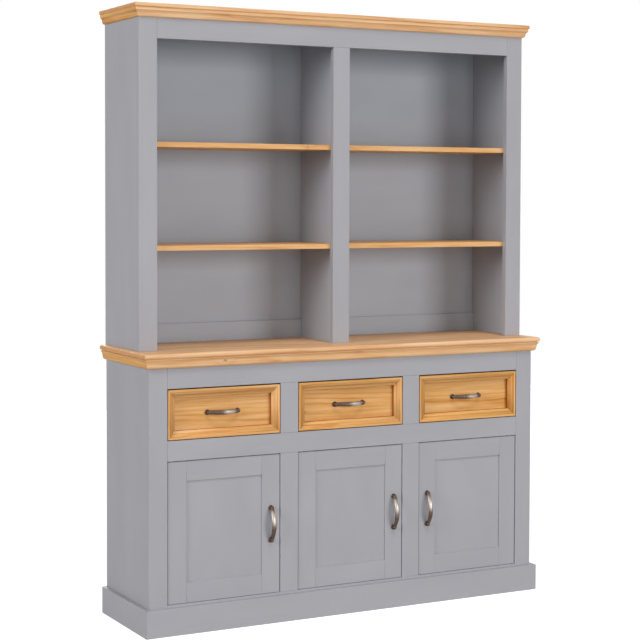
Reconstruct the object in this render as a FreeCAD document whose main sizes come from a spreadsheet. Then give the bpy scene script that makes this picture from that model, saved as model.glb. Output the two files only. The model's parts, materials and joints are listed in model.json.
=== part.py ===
import FreeCAD, Part
import os
import re
import Sketcher
from FreeCAD import Placement, Rotation, Vector

# A hutch: an open-shelf upper unit on a base with three drawers over three doors.
# Millimetres. +X is the right-hand side, -Y the front and +Z up, with the floor at zero.
# The origin is under the middle of the whole, so all pieces are placed about X = 0.

# Driving dimensions, each set by itself
SIZES = {
    # base carcass and its face frame
    "base_width": 1400,
    "base_depth": 360,
    "side_thickness": 20,
    "frame_thickness": 20,
    "base_stile_width": 60,
    "mullion_width": 62.5,
    "door_opening_height": 441,
    "mid_rail_height": 63,
    "drawer_opening_height": 159,
    "top_rail_height": 63,
    "back_thickness": 8,
    "bottom_thickness": 20,
    "partition_thickness": 18,
    "floor_height": 92,
    "plinth_height": 85,
    "plinth_thickness": 16,
    # shelf in each cupboard
    "cupboard_shelf_height": 210,
    "cupboard_shelf_thickness": 18,
    "cupboard_shelf_setback": 24,
    "cupboard_shelf_play": 1,
    "batten_width": 18,
    "batten_height": 24,
    # pine top and the moulding under it, as distances out from the carcass and up from its foot
    "top_board_thickness": 16,
    "top_overhang": 22,
    "top_edge_round": 7,
    "top_moulding_height": 31,
    "top_foot_out": 2,
    "top_bead_out": 12.5,
    "top_bead_rise": 12,
    "top_bead_radius": 10.5,
    "top_shoulder_rise": 14.5,
    "top_shoulder_out": 14,
    "top_cove_out": 19.5,
    "top_cove_rise": 27.5,
    "top_cove_radius": 13,
    "top_quirk_out": 15,
    "top_quirk_height": 2,
    # upper unit
    "hutch_margin": 3,
    "hutch_setback": 72,
    "hutch_stile_width": 60,
    "hutch_opening_height": 957,
    "hutch_rail_height": 63,
    "hutch_back_inset": 12,
    "roof_thickness": 20,
    "divider_thickness": 20,
    "back_rail_height": 62,
    "back_rail_thickness": 8,
    "shelf_thickness": 16,
    "lower_shelf_rise": 307,
    "upper_shelf_rise": 627,
    "housing_depth": 6,
    "dowel_radius": 4,
    "dowel_board_depth": 12,
    "dowel_side_depth": 18,
    "dowel_inset": 40,
    # cornice board and moulding
    "cornice_board_thickness": 12,
    "cornice_overhang": 19,
    "cornice_edge_round": 3,
    "cornice_height": 30,
    "cornice_foot_out": 1.5,
    "cornice_bead_out": 8,
    "cornice_bead_rise": 8.5,
    "cornice_bead_radius": 7.5,
    "cornice_step_out": 9.5,
    "cornice_cove_out": 15.5,
    "cornice_cove_rise": 20,
    "cornice_cove_radius": 10,
    # drawers
    "drawer_gap": 2.5,
    "drawer_top_gap": 4,
    "drawer_panel_thickness": 10,
    "edging_width": 26,
    "edging_thickness": 22,
    "edging_flat": 8,
    "edging_step_rise": 20,
    "edging_bead_end": 17,
    "edging_bead_rise": 15.2,
    "edging_bead_radius": 9,
    "edging_cove_rise": 14,
    "edging_cove_radius": 12,
    "edging_lip_rise": 11.5,
    "drawer_box_height": 122,
    "drawer_box_gap": 3,
    "drawer_box_lift": 4,
    "drawer_side_thickness": 12,
    "drawer_bottom_thickness": 5,
    "drawer_bottom_rise": 8,
    "drawer_groove_depth": 6,
    "bearer_height": 24,
    "kicker_height": 14,
    "slide_clearance": 0.4,
    "runner_setback": 2,
    "stop_width": 40,
    "stop_length": 28.5,
    "stop_clearance": 0.5,
    # doors
    "door_setback": 3,
    "door_gap": 2,
    "door_foot_gap": 1,
    "door_stile_width": 62,
    "door_rail_height": 62,
    "door_panel_thickness": 5,
    "door_panel_recess": 4,
    "door_groove_depth": 8,
    "door_panel_play": 1,
    "pivot_inset": 16,
    "pivot_setback": 7,
    "pivot_radius": 2.5,
    "pivot_door_depth": 20,
    "pivot_bush_reach": 10,
    "pivot_clearance": 0.05,
    "bush_radius": 4.5,
    "bush_length": 11,
    "seat_clearance": 0.05,
    "strike_thickness": 1,
    "strike_width": 32,
    "strike_height": 12,
    "strike_inset": 24,
    "strike_drop": 2,
    "catch_clearance": 0.3,
    "catch_depth": 14,
    "catch_height": 34,
    # bow handles and their screws
    "handle_spacing": 102,
    "handle_projection": 31,
    "handle_foot_radius": 8.5,
    "handle_neck_radius": 6,
    "handle_ball_radius": 7,
    "handle_end_height": 8,
    "handle_end_half_height": 6,
    "handle_end_half_depth": 4,
    "handle_middle_half_height": 7.5,
    "handle_middle_half_depth": 4.5,
    "screw_radius": 2,
    "screw_reach": 8,
    "screw_head_radius": 4,
    "screw_head_height": 2.5,
    "screw_clearance": 0.2,
    "cut_overrun": 5,
}

# Places and fitted sizes that follow from the driving dimensions
LAYOUT = {
    "front_y": "(max(top_overhang; handle_projection - door_setback) - base_depth) / 2",
    "back_y": "front_y + base_depth",
    "frame_back_y": "front_y + frame_thickness",
    "base_panel_y": "back_y - back_thickness",
    "base_inner_width": "base_width - 2 * side_thickness",
    "base_inner_depth": "base_panel_y - frame_back_y",
    "opening_width": "(base_width - 2 * base_stile_width - 2 * mullion_width) / 3",
    "bay_pitch": "opening_width + mullion_width",
    "mid_rail_z": "floor_height + door_opening_height",
    "drawer_z": "mid_rail_z + mid_rail_height",
    "top_rail_z": "drawer_z + drawer_opening_height",
    "top_moulding_z": "top_rail_z + top_rail_height",
    "top_board_z": "top_moulding_z + top_moulding_height",
    "top_quirk_rise": "top_moulding_height - top_quirk_height",
    "side_offset": "base_stile_width - side_thickness",
    "partition_offset": "(mullion_width - partition_thickness) / 2",
    "cupboard_shelf_z": "floor_height + cupboard_shelf_height",
    "cupboard_shelf_depth": "base_inner_depth - cupboard_shelf_setback",
    "hutch_width": "base_width + 2 * hutch_margin",
    "hutch_z": "top_board_z + top_board_thickness",
    "hutch_rail_z": "hutch_z + hutch_opening_height",
    "cornice_z": "hutch_rail_z + hutch_rail_height",
    "cornice_board_z": "cornice_z + cornice_height",
    "hutch_front_y": "front_y + hutch_setback",
    "hutch_depth": "base_depth - hutch_setback",
    "hutch_frame_back_y": "hutch_front_y + frame_thickness",
    "hutch_panel_y": "back_y - hutch_back_inset - back_thickness",
    "hutch_inner_width": "hutch_width - 2 * side_thickness",
    "hutch_inner_depth": "hutch_panel_y - hutch_frame_back_y",
    "hutch_bay_width": "(hutch_inner_width - divider_thickness) / 2",
    "hutch_bay_pitch": "hutch_bay_width + divider_thickness",
    "hutch_carcass_height": "cornice_board_z - hutch_z",
    "drawer_front_width": "opening_width - 2 * drawer_gap",
    "drawer_front_height": "drawer_opening_height - drawer_gap - drawer_top_gap",
    "drawer_front_z": "drawer_z + drawer_gap",
    "drawer_panel_y": "front_y + edging_thickness",
    "drawer_box_y": "drawer_panel_y + drawer_panel_thickness",
    "drawer_box_z": "drawer_z + drawer_box_lift",
    "drawer_box_width": "opening_width - 2 * drawer_box_gap",
    "drawer_bottom_z": "drawer_box_z + drawer_bottom_rise",
    "drawer_bottom_top_z": "drawer_bottom_z + drawer_bottom_thickness",
    "drawer_inner_width": "drawer_box_width - 2 * drawer_side_thickness",
    "drawer_box_back_y": "base_panel_y - stop_length - stop_clearance",
    "drawer_box_depth": "drawer_box_back_y - drawer_box_y",
    "runner_y": "drawer_box_y + runner_setback",
    "runner_length": "base_panel_y - runner_y",
    "bearer_z": "drawer_box_z - slide_clearance - bearer_height",
    "kicker_z": "drawer_box_z + drawer_box_height + slide_clearance",
    "bearer_cover": "drawer_box_gap + drawer_side_thickness",
    "door_y": "front_y + door_setback",
    "door_thickness": "frame_thickness - door_setback - strike_thickness - catch_clearance",
    "door_width": "opening_width - 2 * door_gap",
    "door_height": "door_opening_height - door_gap - door_foot_gap",
    "door_z": "floor_height + door_foot_gap",
    "door_back_y": "door_y + door_thickness",
    "door_rail_length": "door_width - 2 * door_stile_width",
    "door_field_height": "door_height - 2 * door_rail_height",
    "door_groove_y": "door_y + door_panel_recess",
    "door_panel_hold": "door_groove_depth - door_panel_play",
    "pivot_y": "door_y + pivot_setback",
    "pivot_length": "pivot_door_depth + door_gap + pivot_bush_reach",
    "strike_top_z": "mid_rail_z - door_gap - strike_drop",
    "catch_z": "strike_top_z - strike_height",
    "handle_rise": "handle_projection - handle_middle_half_depth - handle_end_height",
    "handle_half": "handle_spacing / 2",
    "handle_radius": "(handle_half ^ 2 + handle_rise ^ 2) / (2 * handle_rise)",
    "handle_half_angle": "asin(handle_half / handle_radius)",
}

# Drawer and door columns, in bay pitches from the middle, and the side that each door is hung on
COLUMNS = {"left": -1, "middle": 0, "right": 1}
HINGE_SIDES = {"left": -1, "middle": -1, "right": 1}
SIDES = {"left": -1, "right": 1}

# Stations along a handle's bow, as shares of half its spread
BOW_SHARES = (-1, -0.5, 0, 0.5, 1)

UP = Vector(0, 0, 1)
ACROSS = Vector(1, 0, 0)
INWARD = Vector(0, 1, 0)

doc = FreeCAD.newDocument("hutch")
nodes = []


def named(formula):
    """Put the sheet's name in front of every alias in a formula."""
    def with_sheet(match):
        word = match.group(0)
        if word in SIZES:
            return "Sizes." + word
        return "Layout." + word if word in LAYOUT else word
    return re.sub(r"[a-z_]+", with_sheet, formula)


def fill_sheet(name, cells):
    """Write one aliased cell per row and give back the sheet."""
    sheet = doc.addObject("Spreadsheet::Sheet", name)
    for row, (alias, content) in enumerate(cells.items(), start=1):
        sheet.set(f"A{row}", alias)
        sheet.set(f"B{row}", content)
        sheet.setAlias(f"B{row}", alias)
    doc.recompute()
    return sheet


sizes_sheet = fill_sheet("Sizes", {alias: str(size) for alias, size in SIZES.items()})
layout_sheet = fill_sheet("Layout", {alias: "=" + named(formula) for alias, formula in LAYOUT.items()})


def value(alias):
    """The present number behind an alias, or zero."""
    if alias == "0":
        return 0
    return float(getattr(sizes_sheet if alias in SIZES else layout_sheet, alias))


def bind(thing, prop, formula):
    thing.setExpression(prop, named(formula))


def move(thing, place, turn=None):
    """Turn a piece about its own origin and bind that origin to three formulas."""
    if turn:
        thing.Placement = Placement(Vector(), turn)
    for axis, formula in zip("xyz", place):
        bind(thing, f"Placement.Base.{axis}", formula)
    return thing


def node(thing):
    """Keep a finished sub-part for writing."""
    nodes.append(thing)
    return thing


def board(label, size, place):
    box = doc.addObject("Part::Box", label)
    for prop, formula in zip(("Length", "Width", "Height"), size):
        bind(box, prop, formula)
    return move(box, place)


def rod(label, radius, length, place, turn=None):
    cylinder = doc.addObject("Part::Cylinder", label)
    bind(cylinder, "Radius", radius)
    bind(cylinder, "Height", length)
    return move(cylinder, place, turn)


def group(label, pieces):
    compound = doc.addObject("Part::Compound", label)
    compound.Links = pieces
    return compound


def cut(label, blank, cutters):
    result = doc.addObject("Part::Cut", label)
    result.Base = blank
    result.Tool = cutters[0] if len(cutters) == 1 else group(label + "_cutters", cutters)
    return result


def fuse(label, pieces):
    result = doc.addObject("Part::MultiFuse", label)
    result.Shapes = pieces
    return result


def mitre_block(label, length, reach, height, ends):
    """A bar along X whose length changes by reach at each mitred end, from Y = 0 to Y = reach."""
    wedge = doc.addObject("Part::Wedge", label)
    bounds = {
        "Xmin": f"-({length}) / 2",
        "Xmax": f"({length}) / 2",
        "X2min": f"-({length}) / 2 - {ends[0]} * {reach}",
        "X2max": f"({length}) / 2 + {ends[1]} * {reach}",
        "Ymin": "0",
        "Ymax": reach,
        "Zmin": "0",
        "Z2min": "0",
        "Zmax": height,
        "Z2max": height,
    }
    for prop, formula in bounds.items():
        bind(wedge, prop, formula)
    return wedge


def arc_middle(start, end, radius, side):
    """The middle of an arc that bulges to the left (+1) or right (-1) of start to end."""
    chord = end - start
    half = chord.Length / 2
    rise = radius - (radius ** 2 - half ** 2) ** 0.5
    across = Vector(-chord.y, chord.x, 0).normalize()
    return (start + end) / 2 + across * (side * rise)


def pin_corner(sketch, kind, axis, line, end, alias):
    """Hold one coordinate of a corner at a named size, or on the axis for zero."""
    if alias == "0":
        sketch.addConstraint(Sketcher.Constraint("PointOnObject", line, end, axis))
        return
    index = sketch.addConstraint(Sketcher.Constraint(kind, -1, 1, line, end, value(alias)))
    sketch.setExpression(f"Constraints[{index}]", named(alias))


def draw_outline(sketch, corners, arcs):
    """Draw a closed outline through named corners. arcs maps an edge to its radius and side."""
    points = [Vector(value(across), value(up), 0) for across, up in corners]
    nexts = points[1:] + points[:1]
    for edge, (start, end) in enumerate(zip(points, nexts)):
        if edge in arcs:
            radius, side = arcs[edge]
            middle = arc_middle(start, end, value(radius), side)
            # a sketch's arcs run anticlockwise, so one that bulges left is drawn from its end
            sketch.addGeometry(Part.Arc(start, middle, end) if side < 0 else Part.Arc(end, middle, start))
        else:
            sketch.addGeometry(Part.LineSegment(start, end))

    def end_number(edge, point):
        geometry = sketch.Geometry[edge]
        gaps = (geometry.StartPoint - point).Length, (geometry.EndPoint - point).Length
        return 1 if gaps[0] < gaps[1] else 2

    for edge, point in enumerate(nexts):
        other = (edge + 1) % len(points)
        ends = end_number(edge, point), end_number(other, point)
        sketch.addConstraint(Sketcher.Constraint("Coincident", edge, ends[0], other, ends[1]))
    for edge, (across, up) in enumerate(corners):
        end = end_number(edge, points[edge])
        pin_corner(sketch, "DistanceX", -2, edge, end, across)
        pin_corner(sketch, "DistanceY", -1, edge, end, up)
    for edge, (radius, _) in arcs.items():
        index = sketch.addConstraint(Sketcher.Constraint("Radius", edge, value(radius)))
        sketch.setExpression(f"Constraints[{index}]", named(radius))


def moulding(label, profile, length, ends):
    """One moulded run along X with mitred ends. A profile holds corners, arcs, reach and height."""
    body = doc.addObject("PartDesign::Body", label + "_stick")
    sketch = body.newObject("Sketcher::SketchObject", label + "_profile")
    plane = next(feature for feature in body.Origin.OriginFeatures if feature.Role == "YZ_Plane")
    sketch.AttachmentSupport = [(plane, "")]
    sketch.MapMode = "FlatFace"
    draw_outline(sketch, profile["corners"], profile["arcs"])
    pad = body.newObject("PartDesign::Pad", label + "_length")
    pad.Profile = sketch
    pad.SideType = "Symmetric"
    bind(pad, "Length", f"{length} + 2 * {profile['reach']}")
    piece = doc.addObject("Part::Common", label)
    piece.Base = body
    piece.Tool = mitre_block(label + "_mitre", length, profile["reach"], profile["height"], ends)
    return piece


def wrap_round(label, make_run, width, front, depth, height):
    """Three runs round the front and both sides, mitred at the two front corners."""
    pieces = [move(make_run(label + "_front", width, (1, 1)), ("0", front, height), Rotation(UP, 180))]
    middle = f"{front} + {depth} / 2"
    for name, side in SIDES.items():
        ends = (1, 0) if side < 0 else (0, 1)
        run = make_run(f"{label}_{name}", depth, ends)
        pieces.append(move(run, (f"{side} * {width} / 2", middle, height), Rotation(UP, -side * 90)))
    return node(group(label, pieces))


def soften(label, blank, radius):
    """Round the long top and bottom edges of a board at its front and ends, not at its back."""
    doc.recompute()
    box = blank.Shape.BoundBox
    edges = []
    for number, edge in enumerate(blank.Shape.Edges, start=1):
        middle = edge.BoundBox
        flat = middle.ZLength < middle.DiagonalLength / 2
        if flat and middle.YMin < box.Center.y:
            edges.append((number, value(radius), value(radius)))
    fillet = doc.addObject("Part::Fillet", label)
    fillet.Base = blank
    fillet.Edges = edges
    return fillet


# Base carcass: sides, back, bottom and the two partitions behind the mullions
for name, side in SIDES.items():
    node(board(
        f"base_side_{name}",
        ("side_thickness", "base_depth - frame_thickness", "top_board_z"),
        (f"{side} * (base_width - side_thickness) / 2 - side_thickness / 2", "frame_back_y", "0"),
    ))
node(board(
    "base_back_panel",
    ("base_inner_width", "back_thickness", "top_board_z"),
    ("-base_inner_width / 2", "base_panel_y", "0"),
))
node(board(
    "base_bottom_board",
    ("base_inner_width", "base_inner_depth", "bottom_thickness"),
    ("-base_inner_width / 2", "frame_back_y", "floor_height - bottom_thickness"),
))
node(group("base_partitions", [
    board(
        f"partition_{name}",
        ("partition_thickness", "base_inner_depth", "top_board_z - floor_height"),
        (f"{side} * bay_pitch / 2 - partition_thickness / 2", "frame_back_y", "floor_height"),
    )
    for name, side in SIDES.items()
]))

# Base face frame, with bush holes for the door pivots in the mid and bottom rails
node(group("base_stiles", [
    board(
        f"base_stile_{name}",
        ("base_stile_width", "frame_thickness", "top_board_z"),
        (f"{side} * (base_width - base_stile_width) / 2 - base_stile_width / 2", "front_y", "0"),
    )
    for name, side in SIDES.items()
]))


def base_rail(label, foot, height):
    return board(
        label,
        ("base_width - 2 * base_stile_width", "frame_thickness", height),
        ("base_stile_width - base_width / 2", "front_y", foot),
    )


def pivot_x(name):
    return f"{COLUMNS[name]} * bay_pitch + {HINGE_SIDES[name]} * (door_width / 2 - pivot_inset)"


def bush_holes(label, foot):
    return [
        rod(f"{label}_hole_{name}", "bush_radius + seat_clearance", "bush_length",
            (pivot_x(name), "pivot_y", foot))
        for name in COLUMNS
    ]


node(base_rail("base_top_rail", "top_rail_z", "top_board_z - top_rail_z"))
node(cut("base_mid_rail", base_rail("mid_rail_blank", "mid_rail_z", "mid_rail_height"),
         bush_holes("mid_rail", "mid_rail_z")))
node(cut("base_bottom_rail", base_rail("bottom_rail_blank", "0", "floor_height"),
         bush_holes("bottom_rail", "floor_height - bush_length")))

mullions = []
for row, foot, height in (("drawer", "drawer_z", "drawer_opening_height"),
                          ("door", "floor_height", "door_opening_height")):
    for name, side in SIDES.items():
        mullions.append(board(
            f"{row}_mullion_{name}",
            ("mullion_width", "frame_thickness", height),
            (f"{side} * bay_pitch / 2 - mullion_width / 2", "front_y", foot),
        ))
node(group("base_mullions", mullions))

# Plinth round the foot
wrap_round(
    "plinth",
    lambda label, length, ends: mitre_block(label, length, "plinth_thickness", "plinth_height", ends),
    "base_width", "front_y", "base_depth", "0",
)

# What carries the drawers: a bearer under and a kicker over each box side, and a stop behind
runners = []
shelf_battens = []
for name, column in COLUMNS.items():
    for hand, side in SIDES.items():
        offset = "side_offset" if column == side else "partition_offset"
        wall = f"{column} * bay_pitch + {side} * (opening_width / 2 + {offset})"
        reach = f"({offset} + bearer_cover)"
        runner_x = f"{wall} - {side} * {reach} / 2 - {reach} / 2"
        for kind, foot, height in (("bearer", "bearer_z", "bearer_height"),
                                   ("kicker", "kicker_z", "kicker_height")):
            runners.append(board(
                f"{kind}_{name}_{hand}",
                (reach, "runner_length", height),
                (runner_x, "runner_y", foot),
            ))
        shelf_battens.append(board(
            f"batten_{name}_{hand}",
            ("batten_width", "cupboard_shelf_depth", "batten_height"),
            (f"{wall} - {side} * batten_width / 2 - batten_width / 2",
             "frame_back_y + cupboard_shelf_setback", "cupboard_shelf_z - batten_height"),
        ))
node(group("drawer_runners", runners))
node(group("drawer_stops", [
    board(
        f"stop_{name}",
        ("stop_width", "stop_length", "drawer_box_height / 2"),
        (f"{column} * bay_pitch - stop_width / 2",
         "drawer_box_back_y + stop_clearance", "drawer_bottom_top_z"),
    )
    for name, column in COLUMNS.items()
]))

# A shelf on two battens in each cupboard
node(group("shelf_battens", shelf_battens))
shelves = []
for name, column in COLUMNS.items():
    left = "side_offset" if column == SIDES["left"] else "partition_offset"
    right = "side_offset" if column == SIDES["right"] else "partition_offset"
    shelves.append(board(
        f"cupboard_shelf_{name}",
        (f"opening_width + {left} + {right} - 2 * cupboard_shelf_play",
         "cupboard_shelf_depth", "cupboard_shelf_thickness"),
        (f"{column} * bay_pitch - opening_width / 2 - {left} + cupboard_shelf_play",
         "frame_back_y + cupboard_shelf_setback", "cupboard_shelf_z"),
    ))
node(group("cupboard_shelves", shelves))

# Pine top with its moulding, and the dowels that locate the upper unit on it
TOP_PROFILE = {
    "corners": [
        ("0", "0"),
        ("top_foot_out", "0"),
        ("top_bead_out", "top_bead_rise"),
        ("top_bead_out", "top_shoulder_rise"),
        ("top_shoulder_out", "top_shoulder_rise"),
        ("top_cove_out", "top_cove_rise"),
        ("top_cove_out", "top_quirk_rise"),
        ("top_quirk_out", "top_quirk_rise"),
        ("top_quirk_out", "top_moulding_height"),
        ("0", "top_moulding_height"),
    ],
    "arcs": {1: ("top_bead_radius", -1), 4: ("top_cove_radius", 1)},
    "reach": "top_cove_out",
    "height": "top_moulding_height",
}
wrap_round(
    "top_moulding",
    lambda label, length, ends: moulding(label, TOP_PROFILE, length, ends),
    "base_width", "front_y", "base_depth", "top_moulding_z",
)

dowels = []
dowel_holes = []
for name, side in SIDES.items():
    for where, along in (("front", "hutch_frame_back_y + dowel_inset"), ("back", "back_y - dowel_inset")):
        place = (f"{side} * (hutch_width - side_thickness) / 2", along, "hutch_z - dowel_board_depth")
        length = "dowel_board_depth + dowel_side_depth"
        dowels.append(rod(f"dowel_{name}_{where}", "dowel_radius", length, place))
        dowel_holes.append(
            rod(f"dowel_hole_{name}_{where}", "dowel_radius + seat_clearance", length, place))
node(group("hutch_dowels", dowels))

top_blank = board(
    "top_blank",
    ("base_width + 2 * top_overhang", "base_depth + top_overhang", "top_board_thickness"),
    ("-base_width / 2 - top_overhang", "front_y - top_overhang", "top_board_z"),
)
node(cut("top_board", soften("top_softened", top_blank, "top_edge_round"), dowel_holes))

# Upper unit carcass, with housings for the shelf ends in the sides and the divider
SHELF_RISES = {"lower": "lower_shelf_rise", "upper": "upper_shelf_rise"}


def housing(label, middle, row, width):
    """A groove for one shelf end, centred on a face."""
    return board(
        f"{label}_{row}_housing",
        (width, "hutch_panel_y - hutch_frame_back_y + cut_overrun", "shelf_thickness"),
        (f"{middle} - ({width}) / 2", "hutch_frame_back_y - cut_overrun", f"hutch_z + {SHELF_RISES[row]}"),
    )


for name, side in SIDES.items():
    blank = board(
        f"hutch_side_{name}_blank",
        ("side_thickness", "hutch_depth - frame_thickness", "hutch_carcass_height"),
        (f"{side} * (hutch_width - side_thickness) / 2 - side_thickness / 2",
         "hutch_frame_back_y", "hutch_z"),
    )
    inner_face = f"{side} * hutch_inner_width / 2"
    housings = [housing(f"hutch_side_{name}", inner_face, row, "2 * housing_depth") for row in SHELF_RISES]
    holes = [hole for hole in dowel_holes if f"_{name}_" in hole.Label]
    node(cut(f"hutch_side_{name}", blank, housings + holes))

divider_blank = board(
    "divider_blank",
    ("divider_thickness", "hutch_inner_depth", "hutch_carcass_height - roof_thickness"),
    ("-divider_thickness / 2", "hutch_frame_back_y", "hutch_z"),
)
divider_housings = [
    board(
        f"divider_{name}_{row}_housing",
        ("2 * housing_depth", "hutch_inner_depth + 2 * cut_overrun", "shelf_thickness"),
        (f"{side} * divider_thickness / 2 - housing_depth", "hutch_frame_back_y - cut_overrun",
         f"hutch_z + {rise}"),
    )
    for name, side in SIDES.items()
    for row, rise in SHELF_RISES.items()
]
node(cut("hutch_divider", divider_blank, divider_housings))

node(board(
    "hutch_back_panel",
    ("hutch_inner_width", "back_thickness", "hutch_carcass_height"),
    ("-hutch_inner_width / 2", "hutch_panel_y", "hutch_z"),
))
node(group("hutch_back_rails", [
    board(
        f"back_rail_{name}",
        ("hutch_bay_width", "back_rail_thickness", "back_rail_height"),
        (f"{side} * hutch_bay_pitch / 2 - hutch_bay_width / 2",
         "hutch_panel_y - back_rail_thickness", "hutch_z"),
    )
    for name, side in SIDES.items()
]))
node(board(
    "hutch_roof_board",
    ("hutch_inner_width", "hutch_inner_depth", "roof_thickness"),
    ("-hutch_inner_width / 2", "hutch_frame_back_y", "cornice_board_z - roof_thickness"),
))
for row, rise in SHELF_RISES.items():
    node(group(f"{row}_shelves", [
        board(
            f"{row}_shelf_{name}",
            ("hutch_bay_width + 2 * housing_depth", "hutch_inner_depth", "shelf_thickness"),
            (f"{side} * hutch_bay_pitch / 2 - hutch_bay_width / 2 - housing_depth",
             "hutch_frame_back_y", f"hutch_z + {rise}"),
        )
        for name, side in SIDES.items()
    ]))

# Upper unit face frame
hutch_stiles = [
    board(
        f"hutch_stile_{name}",
        ("hutch_stile_width", "frame_thickness", "hutch_carcass_height"),
        (f"{side} * (hutch_width - hutch_stile_width) / 2 - hutch_stile_width / 2",
         "hutch_front_y", "hutch_z"),
    )
    for name, side in SIDES.items()
]
hutch_stiles.append(board(
    "hutch_stile_middle",
    ("hutch_stile_width", "frame_thickness", "hutch_opening_height"),
    ("-hutch_stile_width / 2", "hutch_front_y", "hutch_z"),
))
node(group("hutch_stiles", hutch_stiles))
node(board(
    "hutch_top_rail",
    ("hutch_width - 2 * hutch_stile_width", "frame_thickness", "cornice_board_z - hutch_rail_z"),
    ("hutch_stile_width - hutch_width / 2", "hutch_front_y", "hutch_rail_z"),
))

# Cornice
CORNICE_PROFILE = {
    "corners": [
        ("0", "0"),
        ("cornice_foot_out", "0"),
        ("cornice_bead_out", "cornice_bead_rise"),
        ("cornice_step_out", "cornice_bead_rise"),
        ("cornice_cove_out", "cornice_cove_rise"),
        ("cornice_cove_out", "cornice_height"),
        ("0", "cornice_height"),
    ],
    "arcs": {1: ("cornice_bead_radius", -1), 3: ("cornice_cove_radius", 1)},
    "reach": "cornice_cove_out",
    "height": "cornice_height",
}
wrap_round(
    "cornice_moulding",
    lambda label, length, ends: moulding(label, CORNICE_PROFILE, length, ends),
    "hutch_width", "hutch_front_y", "hutch_depth", "cornice_z",
)
cornice_blank = board(
    "cornice_blank",
    ("hutch_width + 2 * cornice_overhang", "hutch_depth + cornice_overhang", "cornice_board_thickness"),
    ("-hutch_width / 2 - cornice_overhang", "hutch_front_y - cornice_overhang", "cornice_board_z"),
)
node(soften("cornice_board", cornice_blank, "cornice_edge_round"))


# Bow handles. One is drawn lying along X with its feet on Z = 0 and its bow towards +Z
TOWARDS_FRONT = Rotation(ACROSS, 90)
UPRIGHT_TO_FRONT = Rotation(INWARD, -90) * TOWARDS_FRONT


def bow_section(label, share):
    """An oval section of the bow, square to its arc."""
    oval = doc.addObject("Part::Ellipse", label)
    fullness = f"(1 - ({share}) ^ 2)"
    bind(oval, "MajorRadius",
         f"handle_end_half_height + (handle_middle_half_height - handle_end_half_height) * {fullness}")
    bind(oval, "MinorRadius",
         f"handle_end_half_depth + (handle_middle_half_depth - handle_end_half_depth) * {fullness}")
    turn = f"handle_half_angle * {share}"
    drop = f"handle_radius * (1 - cos({turn}))"
    spot = f"vector(handle_radius * sin({turn}); 0; handle_end_height + handle_rise - {drop})"
    facing = f"rotation(vector(0; 1; 0); {turn}) * rotation(vector(1; 1; 1); 120)"
    bind(oval, "Placement", f"placement({spot}; {facing})")
    return oval


def handle(label, back, place, turn):
    """A bow on two feet, held by a screw up each foot from behind a front of thickness back."""
    bow = doc.addObject("Part::Loft", label + "_bow")
    bow.Sections = [
        bow_section(f"{label}_section_{number}", share)
        for number, share in enumerate(BOW_SHARES)
    ]
    bow.Solid = True
    parts = [bow]
    holes = []
    screws = []
    for name, side in SIDES.items():
        along = f"{side} * handle_half"
        foot = doc.addObject("Part::Cone", f"{label}_foot_{name}")
        bind(foot, "Radius1", "handle_foot_radius")
        bind(foot, "Radius2", "handle_neck_radius")
        bind(foot, "Height", "handle_end_height")
        parts.append(move(foot, (along, "0", "0")))
        ball = doc.addObject("Part::Sphere", f"{label}_ball_{name}")
        bind(ball, "Radius", "handle_ball_radius")
        parts.append(move(ball, (along, "0", "handle_end_height")))
        holes.append(rod(f"{label}_hole_{name}", "screw_radius + screw_clearance",
                         "screw_reach + screw_clearance + cut_overrun", (along, "0", "-cut_overrun")))
        shank = rod(f"{label}_shank_{name}", "screw_radius", f"{back} + screw_reach",
                    (along, "0", f"-{back}"))
        head = rod(f"{label}_head_{name}", "screw_head_radius", "screw_head_height",
                   (along, "0", f"-{back} - screw_head_height"))
        screws.append(fuse(f"{label}_screw_{name}", [shank, head]))
    bar = cut(label + "_bar", fuse(label + "_cast", parts), holes)
    return node(move(group(label, [bar] + screws), place, turn))


def screw_holes(label, back, place, turn):
    """Through holes for a handle's two screws."""
    holes = [
        rod(f"{label}_{name}", "screw_radius + screw_clearance", f"{back} + 2 * cut_overrun",
            (f"{side} * handle_half", "0", f"-{back} - cut_overrun"))
        for name, side in SIDES.items()
    ]
    return move(group(label, holes), place, turn)


# Drawers: moulded pine front, box and handle
EDGING_PROFILE = {
    "corners": [
        ("0", "0"),
        ("edging_width", "0"),
        ("edging_width", "edging_lip_rise"),
        ("edging_bead_end", "edging_cove_rise"),
        ("edging_bead_end", "edging_bead_rise"),
        ("edging_flat", "edging_step_rise"),
        ("edging_flat", "edging_thickness"),
        ("0", "edging_thickness"),
    ],
    "arcs": {2: ("edging_cove_radius", 1), 4: ("edging_bead_radius", -1)},
    "reach": "edging_width",
    "height": "edging_thickness",
}


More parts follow.
